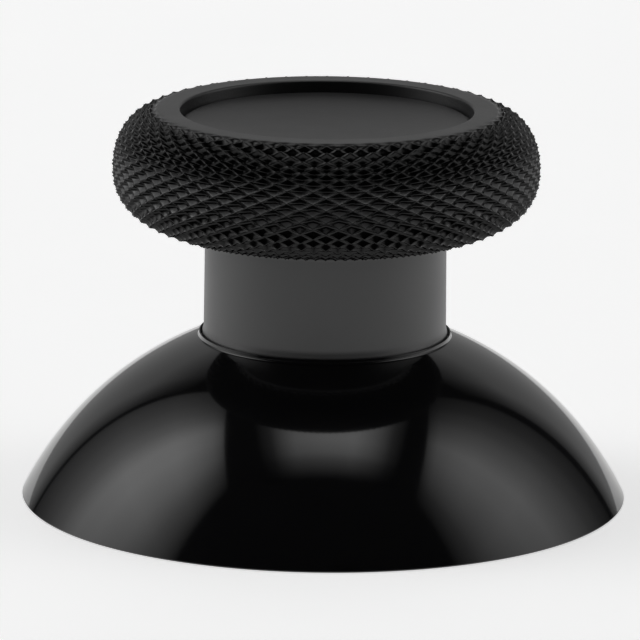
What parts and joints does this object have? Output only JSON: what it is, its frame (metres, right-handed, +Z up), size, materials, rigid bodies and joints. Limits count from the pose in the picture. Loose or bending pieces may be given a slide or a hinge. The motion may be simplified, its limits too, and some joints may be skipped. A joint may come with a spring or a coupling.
{
  "type": "thumbstick cap",
  "caption": "Thumbstick cap: a knurled, dished thumb pad on a short neck, over a hollow dome with a double-D socket for the stick's shaft.",
  "frame": {"origin": "middle of the dome's rim, on the surface that the cap stands on", "axes": "+Z up the stick's axis to the thumb pad, the socket's flats face +Y and -Y"},
  "size_m": [0.023, 0.023, 0.015],
  "materials": {
    "gloss_black": "moulded, mirror gloss",
    "satin_black": "soft-touch moulding, satin, fine grain on the dish"
  },
  "bodies": {
    "root": {"dome_base": "gloss_black", "grip": "satin_black"}
  },
  "joints": []
}
